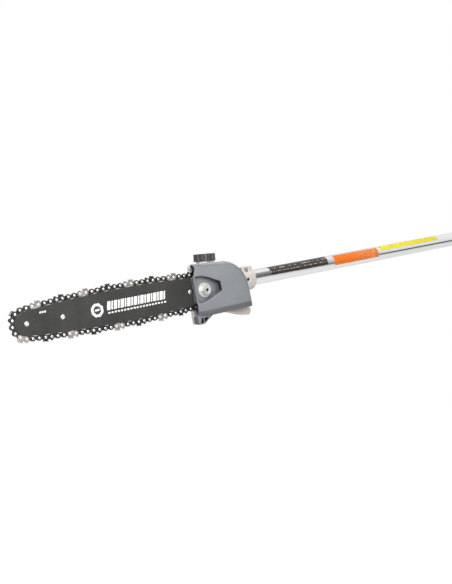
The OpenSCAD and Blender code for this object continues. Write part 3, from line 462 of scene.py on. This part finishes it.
# ---------- moulded and cast shells ----------
def softened(node, voxel, rounds):
    """A copy of a CAD solid with every edge melted to a small radius, which stands for it."""
    slot = slot_of[node]
    obj = bpy.data.objects.new(node + "_shell", nodes[node].data.copy())
    bpy.context.scene.collection.objects.link(obj)
    weld = obj.modifiers.new("weld", "WELD")
    weld.merge_threshold = 0.00001
    remesh = obj.modifiers.new("remesh", "REMESH")
    remesh.mode = "VOXEL"
    remesh.voxel_size = voxel
    remesh.use_smooth_shade = True
    smooth = obj.modifiers.new("smooth", "SMOOTH")
    smooth.factor = 0.5
    smooth.iterations = rounds
    bpy.context.view_layer.update()
    final = bpy.data.meshes.new_from_object(obj.evaluated_get(bpy.context.evaluated_depsgraph_get()))
    obj.modifiers.clear()
    obj.data = final
    paint(obj, slot)
    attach(obj, body_of[node])
    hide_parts(node)


# voxel size in metres, and rounds of smoothing
SHELLS = {
    "side_cover": (0.0006, 8),
    "gear_case": (0.0007, 5),
    "oil_tank": (0.0007, 6),
    "case_cap": (0.0005, 4),
    "lock_clamp": (0.0005, 5),
    "lock_lever": (0.0004, 5),
    "oil_cap": (0.0004, 4),
}
for shell, (voxel, rounds) in SHELLS.items():
    softened(shell, voxel, rounds)


# ---------- detail pieces ----------
def islands(node):
    """The separate solids of a node, each as the list of its vertex places."""
    shape = bmesh.new()
    shape.from_mesh(nodes[node].data)
    bmesh.ops.remove_doubles(shape, verts=shape.verts, dist=0.000005)
    left = set(shape.verts)
    groups = []
    while left:
        stack = [left.pop()]
        group = []
        while stack:
            vert = stack.pop()
            group.append(vert.co.copy())
            for edge in vert.link_edges:
                other = edge.other_vert(vert)
                if other in left:
                    left.discard(other)
                    stack.append(other)
        groups.append(group)
    shape.free()
    return groups


def middle_of(points):
    low = Vector([min(p[i] for p in points) for i in range(3)])
    high = Vector([max(p[i] for p in points) for i in range(3)])
    return (low + high) / 2


def lathe(shape, middle, profile, segments=20):
    """Turns (distance along -Y, radius) steps around the Y axis through middle."""
    angles = [2 * math.pi * k / segments for k in range(segments)]
    rings = []
    for depth, radius in profile:
        if radius == 0:
            rings.append([shape.verts.new(middle + Vector((0, -depth, 0)))] * segments)
            continue
        offsets = [Vector((radius * math.cos(a), -depth, radius * math.sin(a))) for a in angles]
        rings.append([shape.verts.new(middle + offset) for offset in offsets])
    for inner, outer in zip(rings, rings[1:]):
        for k in range(segments):
            corners = (inner[k - 1], inner[k], outer[k], outer[k - 1])
            unique = list(dict.fromkeys(corners))
            if len(unique) > 2:
                shape.faces.new(unique)


def piece(name, shape, body, slot, stands_for=(), smooth=True):
    """A mesh made from the shape, painted and riding on its body."""
    bmesh.ops.recalc_face_normals(shape, faces=shape.faces)
    for face in shape.faces:
        face.smooth = smooth
    mesh = bpy.data.meshes.new(name)
    shape.to_mesh(mesh)
    shape.free()
    obj = bpy.data.objects.new(name, mesh)
    bpy.context.scene.collection.objects.link(obj)
    paint(obj, slot)
    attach(obj, body)
    if stands_for:
        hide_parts(*stands_for)


def domed_rivets():
    """Peened rivets: a shank between two low domes, each with a shallow dimple."""
    low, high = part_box("chain_rivets")
    half = (high.y - low.y) / 2
    steps = [(-0.36, 1.95), (-0.1, 1.98), (0.16, 1.75), (0.3, 1.3), (0.27, 0.8), (0.24, 0)]
    dome = [(half + rise * MM, radius * MM) for rise, radius in steps]
    back = [(-d, r) for d, r in reversed(dome)]
    shape = bmesh.new()
    for points in islands("chain_rivets"):
        lathe(shape, middle_of(points), back + dome)
    piece("chain_rivets_domed", shape, "bar", "bright_steel", ["chain_rivets"])


def bar_rivet_heads():
    """The two large rivets of the bar, domed a little over the paint."""
    low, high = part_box("bar_rivets")
    half = (high.y - low.y) / 2
    steps = [(-0.3, 3.4), (-0.05, 3.35), (0.12, 2.8), (0.2, 1.9), (0.05, 1.2), (0.05, 0)]
    dome = [(half + rise * MM, radius * MM) for rise, radius in steps]
    back = [(-d, r) for d, r in reversed(dome)]
    shape = bmesh.new()
    for points in islands("bar_rivets"):
        lathe(shape, middle_of(points), back + dome, 32)
    piece("bar_rivets_domed", shape, "bar", "bright_steel", ["bar_rivets"])


def stud_socket_shade():
    """A thin black hexagon on the outer end of the bar stud: painted shade that stands for its dark
    socket.
    """
    low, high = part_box("bar_stud")
    middle = centre("bar_stud")
    middle.y = low.y
    shape = bmesh.new()
    radius, back, face = 2.8 * MM, -0.4 * MM, 0.01 * MM
    lathe(shape, middle, [(back, 0), (back, radius), (face, radius), (face, 0)], 6)
    piece("stud_socket_shade", shape, "front_pole", "black_steel", smooth=False)


def tension_pin_end():
    """The pressed dome on the end of the tension pin, which shows in the mouth of the cover."""
    low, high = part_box("tension_block")
    middle = Vector((centre("tension_block").x, low.y, centre("bar_plate_near").z))
    dome = [(-0.5, 3.1), (0.0, 3.1), (0.35, 2.7), (0.6, 1.9), (0.75, 0.9), (0.8, 0)]
    shape = bmesh.new()
    lathe(shape, middle, [(-0.5 * MM, 0)] + [(d * MM, r * MM) for d, r in dome], 24)
    piece("tension_pin_end", shape, "bar", "bright_steel")


def threaded_worm():
    """The oil pump's worm: a drum with one thread wound round it."""
    low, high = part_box("pump_worm")
    middle, half, crest = (low + high) / 2, (high.y - low.y) / 2, (high.x - low.x) / 2
    bore, depth = 6.03 * MM, 0.7 * MM
    turns, steps, segments = 2.5, 40, 48

    def ring(along, radius_at):
        points = []
        for k in range(segments):
            angle = 2 * math.pi * k / segments
            radius = radius_at(angle)
            points.append(middle + Vector((radius * math.cos(angle), along, radius * math.sin(angle))))
        return [shape.verts.new(point) for point in points]

    def thread(step):
        turned = 2 * math.pi * turns * step / steps
        return lambda angle: crest - depth * (1 - max(-1, min(1, 1.8 * math.cos(turned + angle))))

    shape = bmesh.new()
    rings = [ring(half * (2 * step / steps - 1), thread(step)) for step in range(steps + 1)]
    rings = [ring(-half, lambda angle: bore)] + rings + [ring(half, lambda angle: bore)]
    for one, two in zip(rings, rings[1:] + rings[:1]):
        for k in range(segments):
            shape.faces.new((one[k - 1], one[k], two[k], two[k - 1]))
    piece("worm_thread", shape, "spindle", "brass_gear", ["pump_worm"], smooth=False)


def bar_print():
    """Plain white blocks printed on the bar, placed in millimetres from the nose's hub."""
    hub = centre("nose_hub")
    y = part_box("bar_plate_near")[0].y - 0.00003
    shape = bmesh.new()

    def patch(corners):
        shape.faces.new([shape.verts.new((hub.x + x * MM, y, hub.z + z * MM)) for x, z in corners])

    def slanted(x0, x1, z0, z1, lean=2.2):
        patch([(x0, z0), (x1, z0), (x1 + lean, z1), (x0 + lean, z1)])

    # ring mark: an eight-sided band around a short slanted block
    mark_x, mark_z, outer, inner = 111, -0.2, 10.6, 6.4
    steps = [math.radians(22.5 + 45 * k) for k in range(9)]
    for a, b in zip(steps, steps[1:]):
        corners = ((outer, a), (outer, b), (inner, b), (inner, a))
        patch([(mark_x + r * math.cos(t), mark_z + r * math.sin(t)) for r, t in corners])
    slanted(mark_x - 4.4, mark_x + 2.6, mark_z - 1.4, mark_z + 1.6, 1.6)
    # a row of plain slanted bars, wide and narrow in turn
    row_x, bar_pitch, wide, gap, narrow = 127, 11.4, 5.6, 1.6, 2.6
    for start in (row_x + k * bar_pitch for k in range(9)):
        slanted(start, start + wide, -3, 9.5)
        slanted(start + wide + gap, start + wide + gap + narrow, -3, 9.5)
    # a dashed line under the row, and three small dashes near the nose
    dash_pitch, dash = 5.4, 3.4
    for start in (row_x + 1 + k * dash_pitch for k in range(19)):
        slanted(start, start + dash, -8.4, -6, 0.5)
    for start in (21 + k * 3.6 for k in range(3)):
        slanted(start, start + 2.6, 10.8, 13.6, 0.6)
    piece("bar_print", shape, "bar", "bar_print_white", smooth=False)


domed_rivets()
bar_rivet_heads()
stud_socket_shade()
tension_pin_end()
threaded_worm()
bar_print()


# ---------- camera, floor and light ----------
def camera_at_photo_angle():
    """The camera stands beyond the nose on the cover's side, turned towards the pole and rolled."""
    forward = Vector((0.57537, 0.81501, -0.06867)).normalized()
    roll = math.radians(8.566)
    from_nose = Vector((-0.5294, -1.2372, 0.0931))
    level = forward.cross(Vector((0, 0, 1))).normalized()
    upright = level.cross(forward)
    right = level * math.cos(roll) - upright * math.sin(roll)
    up = upright * math.cos(roll) + level * math.sin(roll)
    camera = bpy.data.objects.new("camera", bpy.data.cameras.new("camera"))
    camera.data.lens = 58.56
    camera.data.sensor_width = 36
    camera.data.clip_end = 50
    spot = centre("nose_hub") + from_nose
    camera.matrix_world = Matrix.Translation(spot) @ Matrix((right, up, -forward)).transposed().to_4x4()
    bpy.context.scene.collection.objects.link(camera)
    bpy.context.scene.camera = camera


def floor():
    """A round pale floor well below the pole, which hangs level in the air."""
    radius, drop, along = 2.4, 0.9, 0.6
    mesh = bpy.data.meshes.new("floor")
    shape = bmesh.new()
    bmesh.ops.create_circle(shape, cap_ends=True, radius=radius, segments=96)
    shape.to_mesh(mesh)
    shape.free()
    obj = bpy.data.objects.new("floor", mesh)
    obj.location = (centre("side_cover").x + along, 0, -drop)
    # it glows for the camera and in reflections, so that it fades into the white backdrop
    g = Graph("floor_paper", Emission_Color=(1, 1, 1))
    path = g.add("ShaderNodeLightPath").outputs
    mirrored = g.math("MULTIPLY", path["Is Glossy Ray"], 0.55)
    glow = g.math("MULTIPLY_ADD", path["Is Camera Ray"], 0.9, mirrored)
    g.feed(g.shader.inputs["Emission Strength"], glow)
    mottle = g.noise(0.4, 3)
    obj.data.materials.append(g.done(g.mix(mottle, (0.52, 0.52, 0.52), (0.55, 0.55, 0.55)), 0.8))
    bpy.context.scene.collection.objects.link(obj)


def area_light(name, spot, target, size, power, size_y=None):
    """A soft light at a spot, facing its target."""
    data = bpy.data.lights.new(name, "AREA")
    data.shape = "RECTANGLE"
    data.size = size
    data.size_y = size_y or size
    data.energy = power
    obj = bpy.data.objects.new(name, data)
    obj.location = spot
    obj.rotation_euler = (Vector(target) - Vector(spot)).to_track_quat("-Z", "Y").to_euler()
    bpy.context.scene.collection.objects.link(obj)


def studio():
    """A white studio: a key at the front left, light from above, and a flag that metal reflects.

    The camera sees plain white. Matt surfaces are lit by a soft gradient. Polished ones reflect a
    white room with a dark flag across it, which draws the dark line along the tube.
    """
    world = bpy.data.worlds.new("studio")
    bpy.context.scene.world = world
    world.use_nodes = True
    tree = world.node_tree
    tree.nodes.clear()
    links = tree.links

    def fed(node, values):
        for socket, value in zip(node.inputs, values):
            if isinstance(value, bpy.types.NodeSocket):
                links.new(value, socket)
            elif value is not None:
                socket.default_value = value
        return node.outputs[0]

    def maths(operation, *values):
        node = tree.nodes.new("ShaderNodeMath")
        node.operation = operation
        return fed(node, values)

    def mapped(*values):
        return fed(tree.nodes.new("ShaderNodeMapRange"), values)

    def light(strength):
        node = tree.nodes.new("ShaderNodeBackground")
        node.inputs[0].default_value = (1, 1, 1, 1)
        fed(node, (None, strength))
        return node.outputs[0]

    split = tree.nodes.new("ShaderNodeSeparateXYZ")
    links.new(tree.nodes.new("ShaderNodeTexCoord").outputs["Generated"], split.inputs[0])
    x, y, z = split.outputs
    # the flag's middle and half height fall away towards the far end of the pole
    middle = mapped(x, 0.618, 0.68, 0.28, -0.34)
    half = mapped(x, 0.618, 0.68, 0.44, 0.24)
    off = maths("DIVIDE", maths("ABSOLUTE", maths("SUBTRACT", z, middle)), half)
    front = mapped(y, 0.0, 0.25, 0.0, 1.0)
    flag = maths("MAXIMUM", mapped(off, 0.88, 1.08, 0.0, 1.0), front)
    # the far side of the room is dimmer: thin grey lines along the tube's edges
    upper = maths("MULTIPLY", mapped(z, -0.1, 0.6, 0.86, 1.0), mapped(y, 0.5, 0.8, 1.0, 0.4))
    mirrored = maths("MULTIPLY", upper, mapped(flag, 0.0, 1.0, 0.08, 1.0))
    lean = maths("SUBTRACT", maths("MULTIPLY", z, 0.4), maths("MULTIPLY", y, 0.6))
    soft = mapped(lean, -0.6, 0.9, 0.04, 0.5)
    path = tree.nodes.new("ShaderNodeLightPath")
    inner = tree.nodes.new("ShaderNodeMixShader")
    fed(inner, (path.outputs["Is Glossy Ray"], light(soft), light(mirrored)))
    outer = tree.nodes.new("ShaderNodeMixShader")
    fed(outer, (path.outputs["Is Camera Ray"], inner.outputs[0], light(1.0)))
    out = tree.nodes.new("ShaderNodeOutputWorld")
    links.new(outer.outputs[0], out.inputs[0])
    head = centre("side_cover")
    pole = head + Vector((0.3, 0, 0))
    area_light("key", head + Vector((-0.5, -1.5, 0.6)), pole, 0.8, 26)
    area_light("near", head + Vector((-0.2, -0.24, 0.3)), head, 0.25, 1.3)
    area_light("top", head + Vector((0.3, 0.6, 1.5)), pole, 1.0, 12, 2.4)


camera_at_photo_angle()
floor()
studio()
bpy.context.scene.view_settings.view_transform = "Standard"
